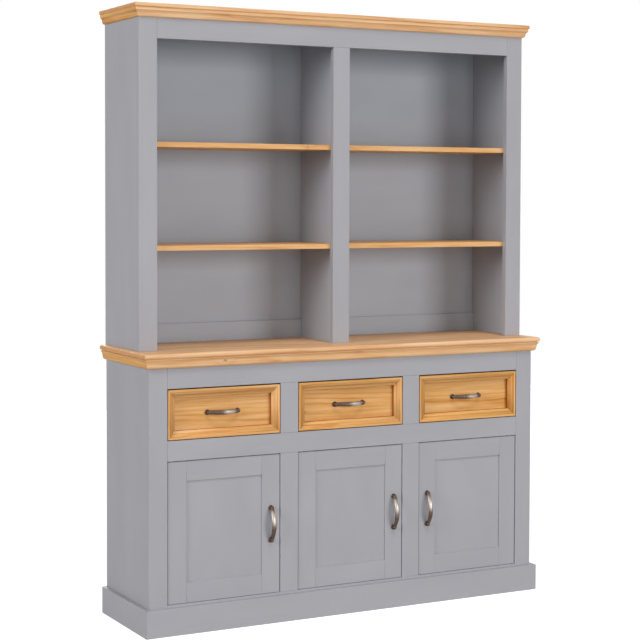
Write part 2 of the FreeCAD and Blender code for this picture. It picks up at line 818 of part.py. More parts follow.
def drawer(name, column):
    label = f"drawer_{name}"
    middle = f"{column} * bay_pitch"
    middle_z = "drawer_front_z + drawer_front_height / 2"
    handle_place = (middle, "drawer_panel_y", middle_z)

    panel = board(
        label + "_panel_blank",
        ("drawer_front_width", "drawer_panel_thickness", "drawer_front_height"),
        (f"{middle} - drawer_front_width / 2", "drawer_panel_y", "drawer_front_z"),
    )
    holes = screw_holes(label + "_screw_holes", "drawer_panel_thickness", handle_place, TOWARDS_FRONT)
    node(cut(label + "_front_panel", panel, [holes]))

    # bottom, left, top and right pieces of the edging, each a quarter turn on from the last
    edging = []
    half_width = "drawer_front_width / 2"
    half_height = "drawer_front_height / 2"
    runs = (
        ("bottom", "drawer_front_width", middle, f"{middle_z} - {half_height}"),
        ("left", "drawer_front_height", f"{middle} - {half_width}", middle_z),
        ("top", "drawer_front_width", middle, f"{middle_z} + {half_height}"),
        ("right", "drawer_front_height", f"{middle} + {half_width}", middle_z),
    )
    for quarter, (where, length, across, up) in enumerate(runs):
        run = moulding(f"{label}_edging_{where}", EDGING_PROFILE, length, (-1, -1))
        facing = Rotation(INWARD, 90 * quarter) * TOWARDS_FRONT
        edging.append(move(run, (across, "drawer_panel_y", up), facing))
    node(group(label + "_front_edging", edging))

    box = []
    for hand, side in SIDES.items():
        outer = f"{middle} + {side} * drawer_box_width / 2"
        blank = board(
            f"{label}_side_{hand}_blank",
            ("drawer_side_thickness", "drawer_box_depth", "drawer_box_height"),
            (f"{outer} - {side} * drawer_side_thickness / 2 - drawer_side_thickness / 2",
             "drawer_box_y", "drawer_box_z"),
        )
        groove = board(
            f"{label}_side_{hand}_groove",
            ("2 * drawer_groove_depth", "drawer_box_depth + 2 * cut_overrun", "drawer_bottom_thickness"),
            (f"{middle} + {side} * drawer_inner_width / 2 - drawer_groove_depth",
             "drawer_box_y - cut_overrun", "drawer_bottom_z"),
        )
        box.append(cut(f"{label}_side_{hand}", blank, [groove]))
    box.append(board(
        label + "_back",
        ("drawer_inner_width", "drawer_side_thickness",
         "drawer_box_height - drawer_bottom_rise - drawer_bottom_thickness"),
        (f"{middle} - drawer_inner_width / 2",
         "drawer_box_back_y - drawer_side_thickness", "drawer_bottom_top_z"),
    ))
    box.append(board(
        label + "_bottom",
        ("drawer_inner_width + 2 * drawer_groove_depth", "drawer_box_depth", "drawer_bottom_thickness"),
        (f"{middle} - drawer_inner_width / 2 - drawer_groove_depth", "drawer_box_y", "drawer_bottom_z"),
    ))
    node(group(label + "_box", box))
    handle(label + "_handle", "drawer_panel_thickness", handle_place, TOWARDS_FRONT)


for name, column in COLUMNS.items():
    drawer(name, column)


# Doors: frame and panel, pivot pins, strike plate and handle
def door(name, column, hinge_side):
    label = f"door_{name}"
    middle = f"{column} * bay_pitch"
    free_side = -hinge_side
    handle_x = f"{middle} + {free_side} * (door_width - door_stile_width) / 2"
    handle_place = (handle_x, "door_y", "door_z + door_height / 2")
    handle_holes = screw_holes(label + "_screw_holes", "door_thickness", handle_place, UPRIGHT_TO_FRONT)

    pin_feet = {"bottom": "door_z - door_foot_gap - pivot_bush_reach",
                "top": "door_z + door_height - pivot_door_depth"}
    pins = [
        rod(f"{label}_pin_{end}", "pivot_radius", "pivot_length", (pivot_x(name), "pivot_y", foot))
        for end, foot in pin_feet.items()
    ]
    pin_bores = [
        rod(f"{label}_bore_{end}", "pivot_radius + seat_clearance", "pivot_length",
            (pivot_x(name), "pivot_y", foot))
        for end, foot in pin_feet.items()
    ]
    node(group(label + "_pivot_pins", pins))

    frame = []
    for hand, side in SIDES.items():
        blank = board(
            f"{label}_stile_{hand}_blank",
            ("door_stile_width", "door_thickness", "door_height"),
            (f"{middle} + {side} * (door_width - door_stile_width) / 2 - door_stile_width / 2",
             "door_y", "door_z"),
        )
        groove = board(
            f"{label}_stile_{hand}_groove",
            ("2 * door_groove_depth", "door_panel_thickness", "door_height + 2 * cut_overrun"),
            (f"{middle} + {side} * door_rail_length / 2 - door_groove_depth", "door_groove_y",
             "door_z - cut_overrun"),
        )
        cutters = [groove] + (pin_bores if side == hinge_side else [handle_holes])
        frame.append(cut(f"{label}_stile_{hand}", blank, cutters))
    for end, foot, groove_z in (
        ("bottom", "door_z", "door_z + door_rail_height - door_groove_depth"),
        ("top", "door_z + door_height - door_rail_height",
         "door_z + door_height - door_rail_height - door_groove_depth"),
    ):
        bar = board(
            f"{label}_rail_{end}_bar",
            ("door_rail_length", "door_thickness", "door_rail_height"),
            (f"{middle} - door_rail_length / 2", "door_y", foot),
        )
        tongue = board(
            f"{label}_rail_{end}_tongue",
            ("door_rail_length + 2 * door_groove_depth", "door_panel_thickness", "door_rail_height"),
            (f"{middle} - door_rail_length / 2 - door_groove_depth", "door_groove_y", foot),
        )
        groove = board(
            f"{label}_rail_{end}_groove",
            ("door_rail_length + 2 * door_groove_depth + 2 * cut_overrun", "door_panel_thickness",
             "2 * door_groove_depth"),
            (f"{middle} - door_rail_length / 2 - door_groove_depth - cut_overrun", "door_groove_y", groove_z),
        )
        frame.append(cut(f"{label}_rail_{end}", fuse(f"{label}_rail_{end}_blank", [bar, tongue]), [groove]))
    node(group(label + "_frame", frame))

    node(board(
        label + "_panel",
        ("door_rail_length + 2 * door_panel_hold", "door_panel_thickness",
         "door_field_height + 2 * door_panel_hold"),
        (f"{middle} - door_rail_length / 2 - door_panel_hold", "door_groove_y",
         "door_z + door_rail_height - door_panel_hold"),
    ))
    strike_x = f"{middle} + {free_side} * (door_width / 2 - strike_inset) - strike_width / 2"
    node(board(
        label + "_strike",
        ("strike_width", "strike_thickness", "strike_height"),
        (strike_x, "door_back_y", "strike_top_z - strike_height"),
    ))
    handle(label + "_handle", "door_thickness", handle_place, UPRIGHT_TO_FRONT)
    return board(
        f"catch_{name}",
        ("strike_width", "catch_depth", "catch_height"),
        (strike_x, "frame_back_y", "catch_z"),
    )


node(group("magnet_catches", [door(name, column, HINGE_SIDES[name]) for name, column in COLUMNS.items()]))

# Bushes that the pivot pins turn in
bushes = []
for end, foot in (("bottom", "floor_height - bush_length"), ("top", "mid_rail_z")):
    for name in COLUMNS:
        place = (pivot_x(name), "pivot_y", foot)
        sleeve = rod(f"bush_{end}_{name}_sleeve", "bush_radius", "bush_length", place)
        bore = rod(f"bush_{end}_{name}_bore", "pivot_radius + pivot_clearance", "bush_length", place)
        bushes.append(cut(f"bush_{end}_{name}", sleeve, [bore]))
node(group("pivot_bushes", bushes))

# Check every object before anything is written
doc.recompute()
for thing in doc.Objects:
    if "Invalid" in thing.State or "Error" in thing.State:
        raise RuntimeError(f"{thing.Label} did not build: {thing.State}")
for thing in nodes:
    if thing.Shape.isNull() or not thing.Shape.isValid() or not thing.Shape.Solids:
        raise RuntimeError(f"{thing.Label} has no valid solid")

os.makedirs("parts", exist_ok=True)
for thing in nodes:
    thing.Shape.exportStep(os.path.join("parts", thing.Label + ".step"))
    print(thing.Label, len(thing.Shape.Solids))
print(len(nodes), "nodes")
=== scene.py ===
# %% [markdown]
# A hutch is two pieces of furniture in one: a cupboard base with drawers and doors, and a lighter unit of
# open shelves that stands on the base's top. This one is softwood. The carcass is painted a satin grey,
# and the tops, mouldings, shelf boards and drawer fronts are left as pine under a clear finish.
# The solid parts come ready from the drawing office, each in its true place and in metres. This lesson
# gives them what a maker's hands add last: eased edges, grain, paint, cast handles and studio light.

import json
import math
import random

import bmesh
import bpy
import numpy as np
from mathutils import Matrix, Vector


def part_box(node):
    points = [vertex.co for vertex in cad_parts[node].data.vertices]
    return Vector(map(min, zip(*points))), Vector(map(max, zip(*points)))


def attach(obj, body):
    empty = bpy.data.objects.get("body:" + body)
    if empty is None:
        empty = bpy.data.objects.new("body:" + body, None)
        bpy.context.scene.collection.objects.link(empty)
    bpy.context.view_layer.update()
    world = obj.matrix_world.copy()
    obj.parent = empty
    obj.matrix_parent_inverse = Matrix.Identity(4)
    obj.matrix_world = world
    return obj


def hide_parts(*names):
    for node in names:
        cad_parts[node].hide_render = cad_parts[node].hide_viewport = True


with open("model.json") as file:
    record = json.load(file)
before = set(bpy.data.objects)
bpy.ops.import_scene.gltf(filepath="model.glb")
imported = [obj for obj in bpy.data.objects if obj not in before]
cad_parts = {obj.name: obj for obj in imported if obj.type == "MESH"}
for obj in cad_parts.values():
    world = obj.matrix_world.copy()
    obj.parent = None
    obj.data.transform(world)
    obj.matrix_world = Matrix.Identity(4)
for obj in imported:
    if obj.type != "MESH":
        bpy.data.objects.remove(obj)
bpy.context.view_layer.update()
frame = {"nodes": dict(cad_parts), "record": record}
MM = 0.001

# %% [markdown]
# The photograph looks at the hutch from the left and a little above its middle. The upright edges stay
# upright in it, which means that the camera was almost level and the picture was moved up or down on the
# film. In Blender that is a camera with almost no tilt and a vertical shift. The place, the angles and the
# focal length were worked out from the straight edges of the object.

# %% Place the camera
# The place is in metres, the angles in radians, the lens and the film in millimetres.
# The shift is a share of the film's width.
CAMERA_PLACE = Vector((-2.62084, -4.85665, 1.34186))
CAMERA_YAW = 0.4904
CAMERA_DIP = 0.038
CAMERA_ROLL = 0.0028
CAMERA_LENS = 94.307
CAMERA_FILM = 36
CAMERA_SHIFT = -0.09375

ahead = Vector((
    math.sin(CAMERA_YAW) * math.cos(CAMERA_DIP),
    math.cos(CAMERA_YAW) * math.cos(CAMERA_DIP),
    -math.sin(CAMERA_DIP),
))
level_right = Vector((math.cos(CAMERA_YAW), -math.sin(CAMERA_YAW), 0))
level_up = level_right.cross(ahead)
right = level_right * math.cos(CAMERA_ROLL) + level_up * math.sin(CAMERA_ROLL)
up = level_up * math.cos(CAMERA_ROLL) - level_right * math.sin(CAMERA_ROLL)

camera_data = bpy.data.cameras.new("camera")
camera_data.lens = CAMERA_LENS
camera_data.sensor_width = CAMERA_FILM
camera_data.shift_y = CAMERA_SHIFT
camera = bpy.data.objects.new("camera", camera_data)
camera.matrix_world = Matrix.Translation(CAMERA_PLACE) @ Matrix((right, up, -ahead)).transposed().to_4x4()
bpy.context.scene.collection.objects.link(camera)
bpy.context.scene.camera = camera
print("camera at", tuple(round(c, 3) for c in CAMERA_PLACE), "lens", CAMERA_LENS)

# %% [markdown]
# A material is a small network of nodes. Writing each node out by hand takes many lines, so one function
# adds a node, sets its values and joins it to the nodes that feed it. Colours are picked as they look on a
# screen, in sRGB, and Blender computes in linear light, so a second function converts them. A third turns
# real sizes into the scale of a pattern: a spot of 5 mm is a pattern that comes 200 times in a metre. The
# last one starts an empty material.

# %% Helpers for materials
def linear(code):
    """An sRGB hex colour as the linear RGBA that Blender's sockets take."""
    channels = [int(code[i:i + 2], 16) / 255 for i in (0, 2, 4)]
    return [c / 12.92 if c <= 0.04045 else ((c + 0.055) / 1.055) ** 2.4 for c in channels] + [1]


def per(*sizes):
    """The scales at which a pattern comes once in each of the sizes, given in millimetres."""
    return tuple(1 / (size * MM) for size in sizes)


def put(tree, kind, settings=None, links=None):
    """Adds one node. Settings are properties, input values or a ramp's stops.

    Links name the node and the output that feed each input.
    """
    made = tree.nodes.new("ShaderNode" + kind)
    for name, setting in (settings or {}).items():
        if name == "stops":
            while len(made.color_ramp.elements) < len(setting):
                made.color_ramp.elements.new(1)
            for stop, (place, code) in zip(made.color_ramp.elements, setting):
                stop.position = place
                stop.color = linear(code)
        elif isinstance(name, str) and hasattr(made, name):
            setattr(made, name, setting)
        else:
            made.inputs[name].default_value = setting
    for name, (source, output) in (links or {}).items():
        tree.links.new(source.outputs[output], made.inputs[name])
    return made


def new_material(name):
    """An empty node material, and its tree."""
    material = bpy.data.materials.new(name)
    material.use_nodes = True
    material.node_tree.nodes.clear()
    return material, material.node_tree


print("white is", linear("FFFFFF"))

# %% [markdown]
# The hutch stands in a white studio. The white round it is only for the eye of the camera and for
# reflections, and throws no light on the furniture, so it can be as bright as paper. What lights the
# furniture from all round is a dim, slightly blue daylight.

# %% Hang the white backdrop
AMBIENT = 0.12
DAYLIGHT = "F0F4FF"


def shown_to_eye(tree):
    """1 for what the camera sees, straight or by way of metal or glass, and 0 for light on the furniture."""
    ray = put(tree, "LightPath")
    mirrored = put(tree, "Math", {"operation": "MAXIMUM"}, {
        0: (ray, "Is Camera Ray"), 1: (ray, "Is Glossy Ray")})
    return put(tree, "Math", {"operation": "MAXIMUM"}, {
        0: (mirrored, 0), 1: (ray, "Is Transmission Ray")})


world = bpy.data.worlds.new("white_studio")
world.use_nodes = True
bpy.context.scene.world = world
world.node_tree.nodes.clear()
shown = shown_to_eye(world.node_tree)
daylight = put(world.node_tree, "Background", {"Color": linear(DAYLIGHT), "Strength": AMBIENT})
paper = put(world.node_tree, "Background", {"Color": linear("FFFFFF"), "Strength": 1.0})
sky = put(world.node_tree, "MixShader", links={
    0: (shown, 0), 1: (daylight, "Background"), 2: (paper, "Background")})
put(world.node_tree, "OutputWorld", links={"Surface": (sky, "Shader")})
print("white backdrop, ambient", AMBIENT)

# %% [markdown]
# A large soft lamp stands low in front, a little to the right, and does most of the work: it reaches the
# back of the bays, and leaves a soft shade under each shelf and along the right of each bay. A weaker one
# straight in front softens that shade. Another fills the left side from nearer by, so the front dims a
# little towards the right. One hangs above, one stands behind for the back, and a card near the floor
# throws a little light up under the mouldings. Light thins out with the square of the distance, so the far
# lamps have many more watts than the near card.

# %% Light the studio
AIM = Vector((0, 0, 1.0))


def soft_lamp(name, azimuth, elevation, distance, size, power):
    """A square lamp aimed at the hutch, with angles in degrees, lengths in metres and power in watts.

    Azimuth 0 is in front, and positive angles are to the right.
    """
    turn = math.radians(azimuth)
    lift = math.radians(elevation)
    way = Vector((math.sin(turn) * math.cos(lift), -math.cos(turn) * math.cos(lift), math.sin(lift)))
    data = bpy.data.lights.new(name, "AREA")
    data.shape = "SQUARE"
    data.size = size
    data.energy = power
    lamp = bpy.data.objects.new(name, data)
    lamp.location = AIM + way * distance
    lamp.rotation_euler = way.to_track_quat("Z", "Y").to_euler()
    lamp.visible_camera = False
    bpy.context.scene.collection.objects.link(lamp)


soft_lamp("key_lamp", azimuth=27, elevation=6, distance=14.0, size=5.0, power=675)
soft_lamp("front_lamp", azimuth=-8, elevation=7, distance=14.0, size=5.0, power=270)
soft_lamp("top_lamp", azimuth=0, elevation=61, distance=14.0, size=4.0, power=660)
soft_lamp("fill_lamp", azimuth=-75, elevation=16, distance=9.0, size=3.2, power=452)
soft_lamp("back_lamp", azimuth=165, elevation=20, distance=14.0, size=5.0, power=900)
soft_lamp("floor_reflector", azimuth=0, elevation=-11, distance=4.0, size=1.4, power=14)
print("placed", len(bpy.data.lights), "lamps")

# %% [markdown]
# The floor is a wide sheet of paper. A floor that is white to the lamps would throw much light up into the
# bays, and the photograph shows little of that, so the paper is a pale grey. It is lifted to white for the
# eye of the camera and for reflections, as the backdrop is, and still dims where the hutch keeps light from
# it. The sheet lies a hair below the plinth, so that no two faces share a place.

# %% Lay the floor
FLOOR_SIZE = 10
FLOOR_DROP = 0.2 * MM
FLOOR_GLOW = 0.86
bpy.ops.object.select_all(action="DESELECT")
bpy.ops.mesh.primitive_plane_add(size=FLOOR_SIZE, location=(0, 0, -FLOOR_DROP))
floor = bpy.context.object
floor.name = "studio_floor"
floor_paper, tree = new_material("matt_pale_grey_studio_paper")
# Matt paper spreads all light evenly. The glow is for the camera and for reflections.
matt = put(tree, "BsdfDiffuse", {"Color": linear("B0B0B0")})
glow = put(tree, "Emission", {"Color": linear("FFFFFF"), "Strength": FLOOR_GLOW})
lifted = put(tree, "AddShader", links={0: (matt, "BSDF"), 1: (glow, "Emission")})
shown = shown_to_eye(tree)
either = put(tree, "MixShader", links={0: (shown, 0), 1: (matt, "BSDF"), 2: (lifted, "Shader")})
put(tree, "OutputMaterial", links={"Surface": (either, "Shader")})
floor.data.materials.append(floor_paper)
print("floor", FLOOR_SIZE, "m across")

# %% [markdown]
# The paint is a satin water-based paint, sprayed in thin coats over sanded softwood. Seen close up it isn't
# flat: the spray leaves a faint orange peel of a millimetre or two, and the wood's growth rings still
# telegraph through as very shallow ripples along each board. The tone wanders by one or two percent over a
# hand's breadth. An attribute called grain gives each board its own lengthwise direction, and the ripples
# follow it. Inside the bays the paint is set a little lighter and cooler: painted light, which offsets the
# warm light that the pine throws on it and lifts the shade in the bays.

# %% Mix the grey paint
def sprayed_paint(name, dark, light):
    """Satin paint sprayed on softwood: an even tone and a soft sheen, broken by ripples and orange peel."""
    material, tree = new_material(name)
    grain = put(tree, "Attribute", {"attribute_name": "grain"})
    # the tone wanders in clouds 300 mm long and 120 mm wide
    cloud_place = put(tree, "Mapping", {"Scale": per(300, 120, 120)}, {"Vector": (grain, "Vector")})
    cloud = put(tree, "TexNoise", {"Scale": 1.0, "Detail": 2.0}, {"Vector": (cloud_place, "Vector")})
    tone = put(tree, "ValToRGB", {"stops": [(0.3, dark), (0.7, light)]}, {"Fac": (cloud, "Fac")})
    # orange peel two millimetres across, drawn a little coarser than life so that it shows
    peel = put(tree, "TexNoise", {"Scale": 1 / (2 * MM), "Detail": 1.0}, {"Vector": (grain, "Vector")})
    # ripples 120 mm long and 4 mm wide
    ripple_place = put(tree, "Mapping", {"Scale": per(120, 4, 4)}, {"Vector": (grain, "Vector")})
    ripple = put(tree, "TexNoise", {"Scale": 1.0, "Detail": 2.0}, {"Vector": (ripple_place, "Vector")})
    # the peel counts half as much as the ripples
    height = put(tree, "Math", {"operation": "MULTIPLY_ADD", 1: 0.5}, {
        0: (peel, "Fac"), 2: (ripple, "Fac")})
    bump = put(tree, "Bump", {"Strength": 0.35, "Distance": 0.08 * MM}, {"Height": (height, 0)})
    sheen = put(tree, "MapRange", {"From Min": 0.35, "From Max": 0.65, "To Min": 0.58, "To Max": 0.66}, {
        "Value": (ripple, "Fac")})
    shader = put(tree, "BsdfPrincipled", {"IOR": 1.5}, {
        "Base Color": (tone, "Color"), "Roughness": (sheen, "Result"), "Normal": (bump, "Normal")})
    put(tree, "OutputMaterial", links={"Surface": (shader, "BSDF")})
    return material


grey_paint = sprayed_paint("satin_grey_paint_sprayed_on_pine", "9D9CA1", "A2A1A6")
# the inside paint is lighter and cooler than the outer one: painted light
inside_paint_painted_light = sprayed_paint("satin_grey_paint_inside_painted_light", "A4A9B2", "A9AEB7")
print("made", grey_paint.name, "and", inside_paint_painted_light.name)

# %% [markdown]
# Pine grows a pale, soft band in spring and a narrow orange band in late summer, so a sawn board shows
# long lines where the saw met the rings. The rings are cylinders round the tree's heart, and a board is a
# slice beside it, slightly out of line with the trunk, which is what draws the pointed arches. So the pattern
# starts from the distance to the heart, bent by slow noise. Here and there a branch left a knot, and the
# rings swell round it.

# %% Grow the trunk, its knots and its rings
def bent_trunk(tree, grain):
    """The place in a trunk with slow bends, 400 mm long and 70 mm wide, of a few millimetres."""
    slow_place = put(tree, "Mapping", {"Scale": per(400, 70, 70)}, {"Vector": (grain, "Vector")})
    slow = put(tree, "TexNoise", {"Scale": 1.0, "Detail": 3.0}, {"Vector": (slow_place, "Vector")})
    centred = put(tree, "VectorMath", {"operation": "SUBTRACT", 1: (0.5, 0.5, 0.5)}, {0: (slow, "Color")})
    bend = put(tree, "VectorMath", {"operation": "SCALE", "Scale": 16 * MM}, {0: (centred, "Vector")})
    return put(tree, "VectorMath", {"operation": "ADD"}, {0: (grain, "Vector"), 1: (bend, "Vector")})


def knots_in(tree, bent):
    """The swelling round each knot and its dark core. One cell of 250 by 180 mm in six holds a knot."""
    cell_place = put(tree, "Mapping", {"Scale": per(250, 180) + (0,)}, {"Vector": (bent, "Vector")})
    cell = put(tree, "TexVoronoi", {"voronoi_dimensions": "2D", "Scale": 1.0}, {
        "Vector": (cell_place, "Vector")})
    luck = put(tree, "SeparateColor", links={"Color": (cell, "Color")})
    chosen = put(tree, "Math", {"operation": "GREATER_THAN", 1: 0.83}, {0: (luck, "Red")})
    swell_all = put(tree, "MapRange", {
        "interpolation_type": "SMOOTHERSTEP",
        "From Min": 0.0, "From Max": 0.22, "To Min": 1.0, "To Max": 0.0,
    }, {"Value": (cell, "Distance")})
    core_all = put(tree, "MapRange", {
        "interpolation_type": "SMOOTHSTEP",
        "From Min": 0.008, "From Max": 0.036, "To Min": 0.55, "To Max": 0.0,
    }, {"Value": (cell, "Distance")})
    swell = put(tree, "Math", {"operation": "MULTIPLY"}, {0: (swell_all, "Result"), 1: (chosen, 0)})
    core = put(tree, "Math", {"operation": "MULTIPLY"}, {0: (core_all, "Result"), 1: (chosen, 0)})
    return swell, core


def late_wood(tree, bent, swell):
    """How far each spot lies in the dark band of a ring: rings round the heart, swollen at the knots."""
    across = put(tree, "VectorMath", {"operation": "MULTIPLY", 1: (0, 1, 1)}, {0: (bent, "Vector")})
    radius = put(tree, "VectorMath", {"operation": "LENGTH"}, {0: (across, "Vector")})
    along = put(tree, "SeparateXYZ", links={"Vector": (bent, "Vector")})
    # the board leans out of line with the trunk by 20 mm in a metre, and a knot moves the rings by 6 mm
    sloped = put(tree, "Math", {"operation": "MULTIPLY_ADD", 1: 0.02}, {
        0: (along, "X"), 2: (radius, "Value")})
    swollen = put(tree, "Math", {"operation": "MULTIPLY_ADD", 1: 6 * MM}, {0: (swell, 0), 2: (sloped, 0)})
    # rings eleven millimetres wide: at the wide end for pine, so that they show at arm's length
    turns = put(tree, "Math", {"operation": "DIVIDE", 1: 11 * MM}, {0: (swollen, 0)})
    ring = put(tree, "Math", {"operation": "FRACT"}, {0: (turns, 0)})
    late = put(tree, "ValToRGB", {"stops": [
        (0.0, "606060"), (0.15, "303030"), (0.6, "606060"), (0.88, "E0E0E0"), (1.0, "606060")]}, {
        "Fac": (ring, 0)})
    # the late wood is strong in some streaks of a board, 600 by 35 mm, and hardly there in others
    streak_place = put(tree, "Mapping", {"Scale": per(600, 35, 35)}, {"Vector": (bent, "Vector")})
    streak = put(tree, "TexNoise", {"Scale": 1.0, "Detail": 1.0}, {"Vector": (streak_place, "Vector")})
    force = put(tree, "MapRange", {"From Min": 0.38, "From Max": 0.62, "To Min": 0.06, "To Max": 0.34}, {
        "Value": (streak, "Fac")})
    return put(tree, "Math", {"operation": "MULTIPLY"}, {0: (late, "Color"), 1: (force, "Result")})


print("the trunk has bends, knots and rings")

# %% [markdown]
# Fine fibres, drawn out along the board, break up the even colour of the rings. Each board has its own
# shade, from deep and dark to light and pale. A cut end shows little figure and drinks more of the oil than
# the sides do. Clear oil on the tops and fronts deepens the colour to honey. Inside the drawers the wood is
# bare. The inner lips of a frame get a painted shade, darker where they look in at the panel. The attributes
# grain, board, end_grain and lip come from a later step.

# %% Plane and oil the pine
# A Mix node has sockets for each kind of data. These are the numbers of those that are used here.
MIX_NUMBER_A = 2
MIX_NUMBER_B = 3
MIX_COLOUR_A = 6
MIX_COLOUR_B = 7
MIX_COLOUR_OUT = 2


def softwood(name, colours, knot_colour, roughness, coat):
    """Planed pine: long lines of rings in a warm tone, a few brown knots and a low sheen along the fibres."""
    material, tree = new_material(name)
    grain = put(tree, "Attribute", {"attribute_name": "grain"})
    board = put(tree, "Attribute", {"attribute_name": "board"})
    end = put(tree, "Attribute", {"attribute_name": "end_grain"})
    lip = put(tree, "Attribute", {"attribute_name": "lip"})
    bent = bent_trunk(tree, grain)
    swell, core = knots_in(tree, bent)
    marked = late_wood(tree, bent, swell)
    # fibres 350 mm long in bundles of 16 mm, and finer ones within
    fibre_place = put(tree, "Mapping", {"Scale": per(350, 16, 16)}, {"Vector": (bent, "Vector")})
    fibre = put(tree, "TexNoise", {"Scale": 1.0, "Detail": 4.0, "Roughness": 0.65}, {
        "Vector": (fibre_place, "Vector")})
    figure = put(tree, "Math", {"operation": "ADD"}, {0: (marked, 0), 1: (fibre, "Fac")})
    calmed = put(tree, "Mix", {"data_type": "FLOAT", MIX_NUMBER_B: 0.6}, {
        0: (end, "Fac"), MIX_NUMBER_A: (figure, 0)})
    tone = put(tree, "ValToRGB", {"stops": list(zip((0.35, 0.6, 0.85), colours))}, {"Fac": (calmed, 0)})
    depth = put(tree, "MapRange", {"To Min": 1.12, "To Max": 0.86}, {"Value": (board, "Fac")})
    light = put(tree, "MapRange", {"To Min": 0.94, "To Max": 1.14}, {"Value": (board, "Fac")})
    stained = put(tree, "HueSaturation", links={
        "Saturation": (depth, "Result"), "Value": (light, "Result"), "Color": (tone, "Color")})
    soaked = put(tree, "Mix", {
        "data_type": "RGBA", "blend_type": "MULTIPLY", MIX_COLOUR_B: linear("DCC8B4"),
    }, {0: (end, "Fac"), MIX_COLOUR_A: (stained, "Color")})
    # painted shade: the lips of a moulding that look in at its panel are darkened, as shade falls there
    lip_painted_shade = put(tree, "Mix", {
        "data_type": "RGBA", "blend_type": "MULTIPLY", MIX_COLOUR_B: linear("B48E66"),
    }, {0: (lip, "Fac"), MIX_COLOUR_A: (soaked, MIX_COLOUR_OUT)})
    knotted = put(tree, "Mix", {"data_type": "RGBA", MIX_COLOUR_B: linear(knot_colour)}, {
        0: (core, 0), MIX_COLOUR_A: (lip_painted_shade, MIX_COLOUR_OUT)})
    sheen = put(tree, "MapRange", {
        "From Min": 0.35, "From Max": 0.65, "To Min": roughness, "To Max": roughness + 0.1,
    }, {"Value": (fibre, "Fac")})
    bump = put(tree, "Bump", {"Strength": 0.4, "Distance": 0.12 * MM}, {"Height": (figure, 0)})
    # open pores and soaked-in oil mirror less than a film of lacquer does, hence the low index
    shader = put(tree, "BsdfPrincipled", {"IOR": 1.3, "Coat Weight": coat, "Coat Roughness": 0.25}, {
        "Base Color": (knotted, MIX_COLOUR_OUT), "Roughness": (sheen, "Result"), "Normal": (bump, "Normal")})
    put(tree, "OutputMaterial", links={"Surface": (shader, "BSDF")})
    return material


honey_pine = softwood("oiled_honey_pine_planed", ("E5BA86", "D9A368", "BF8248"), "7A4A26", 0.52, 0.05)
bare_pine = softwood("bare_pale_pine_sanded", ("E6CFA8", "DDBE92", "CBA374"), "8A6038", 0.62, 0.0)
print("made", honey_pine.name, "and", bare_pine.name)

# %% [markdown]
# The back of the upper unit is a thin hardboard sheet. Its face is painted with the rest, and the side that
# stands to the wall is left as it came from the press: brown, matt, and flecked with wood fibres.

# %% Press the hardboard
def pressed_board(name):
    """Hardboard from the press: matt brown, with paler flecks some 9 mm long and 5 mm high."""
    material, tree = new_material(name)
    place = put(tree, "TexCoord")
    fleck_place = put(tree, "Mapping", {"Scale": per(9, 9, 5)}, {"Vector": (place, "Object")})
    fleck = put(tree, "TexNoise", {"Scale": 1.0, "Detail": 4.0, "Roughness": 0.7}, {
        "Vector": (fleck_place, "Vector")})
    tone = put(tree, "ValToRGB", {"stops": [(0.35, "7A5C41"), (0.55, "8C6B4C"), (0.75, "A07F5E")]}, {
        "Fac": (fleck, "Fac")})
    bump = put(tree, "Bump", {"Strength": 0.4, "Distance": 0.15 * MM}, {"Height": (fleck, "Fac")})
    shader = put(tree, "BsdfPrincipled", {"Roughness": 0.75}, {
        "Base Color": (tone, "Color"), "Normal": (bump, "Normal")})
    put(tree, "OutputMaterial", links={"Surface": (shader, "BSDF")})
    return material


hardboard = pressed_board("brown_hardboard_pressed")
print("made", hardboard.name)

# %% [markdown]
# The small metal and plastic parts are bought in. The handles are cast in a zinc alloy, darkened in a bath
# and then rubbed back, so the feet and hollows stay brown and the proud part of the bow comes up paler. The
# palest spot on the bow is a painted highlight, where the lamps shine on it. An attribute called
# rub, written on the handle's mesh, says how pale each spot is from both.

# %% Finish the metals and the plastic
def aged_pewter(name):
    """Cast metal, darkened and rubbed: brown and dull in the hollows, pale grey with a shine where rubbed and
    a painted highlight.
    """
    material, tree = new_material(name)
    place = put(tree, "TexCoord")
    rub = put(tree, "Attribute", {"attribute_name": "rub"})
    mottle = put(tree, "TexNoise", {"Scale": 1 / (5 * MM), "Detail": 3.0}, {"Vector": (place, "Object")})
    # half the mottle is added to the rubbing and painted highlight, so that no part is quite even
    worn_and_highlit = put(tree, "Math", {"operation": "MULTIPLY_ADD", 1: 0.5}, {0: (mottle, "Fac"), 2: (rub, "Fac")})
    tone = put(tree, "ValToRGB", {"stops": [(0.25, "54443A"), (0.6, "857A70"), (1.0, "A59C94")]}, {
        "Fac": (worn_and_highlit, 0)})
    sheen = put(tree, "MapRange", {"From Min": 0.25, "From Max": 1.1, "To Min": 0.5, "To Max": 0.36}, {
        "Value": (worn_and_highlit, 0)})
    pits = put(tree, "TexNoise", {"Scale": 1 / (1.2 * MM), "Detail": 2.0}, {"Vector": (place, "Object")})
    bump = put(tree, "Bump", {"Strength": 0.3, "Distance": 0.1 * MM}, {"Height": (pits, "Fac")})
    shader = put(tree, "BsdfPrincipled", {"Metallic": 1.0}, {
        "Base Color": (tone, "Color"), "Roughness": (sheen, "Result"), "Normal": (bump, "Normal")})
    put(tree, "OutputMaterial", links={"Surface": (shader, "BSDF")})
    return material


